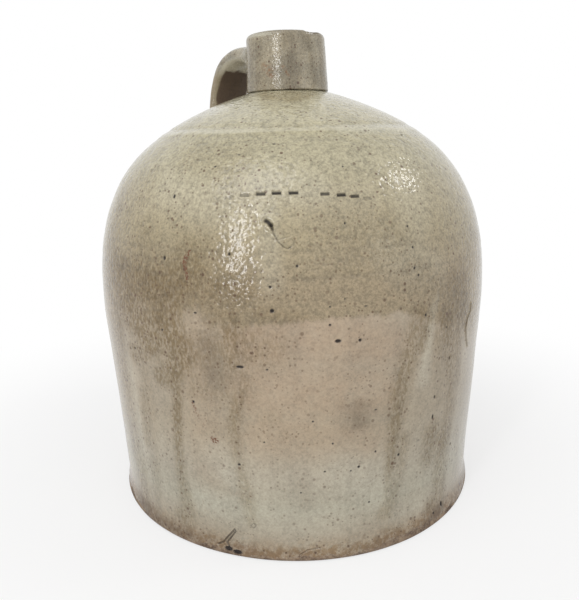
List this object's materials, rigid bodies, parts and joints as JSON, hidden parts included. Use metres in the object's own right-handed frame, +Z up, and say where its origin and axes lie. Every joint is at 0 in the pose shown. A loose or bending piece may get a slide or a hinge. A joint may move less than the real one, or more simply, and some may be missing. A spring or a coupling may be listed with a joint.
{
  "type": "stoneware jug",
  "caption": "Salt-glazed stoneware jug with a domed shoulder, a plain neck with a round mouth, and a small strap handle behind the neck.",
  "frame": {"origin": "on the jug's axis, at the underside of the base", "axes": "+Z up along the axis, out of the mouth; the handle stands behind the neck on the +Y side"},
  "size_m": [0.244, 0.244, 0.282],
  "materials": {
    "body_glaze": "olive-beige salt glaze with an orange-peel skin, specks and pinkish and grey-green clouding",
    "neck_glaze": "brown-grey salt glaze, pitted, with rust specks",
    "handle_glaze": "grey-green salt glaze, bare and brown under the strap",
    "bare_clay": "bare fired stoneware, brown and gritty, with a worn edge",
    "brown_slip": "dark brown slip glaze"
  },
  "bodies": {
    "root": {"base_slab": "bare_clay", "lower_wall": "body_glaze", "shoulder_dome": "body_glaze", "shoulder_top": "body_glaze", "neck_collar": "neck_glaze", "strap_handle": "handle_glaze", "upper_handle_roll": "handle_glaze", "lower_handle_roll": "handle_glaze", "slip_lining": "brown_slip"}
  },
  "joints": []
}
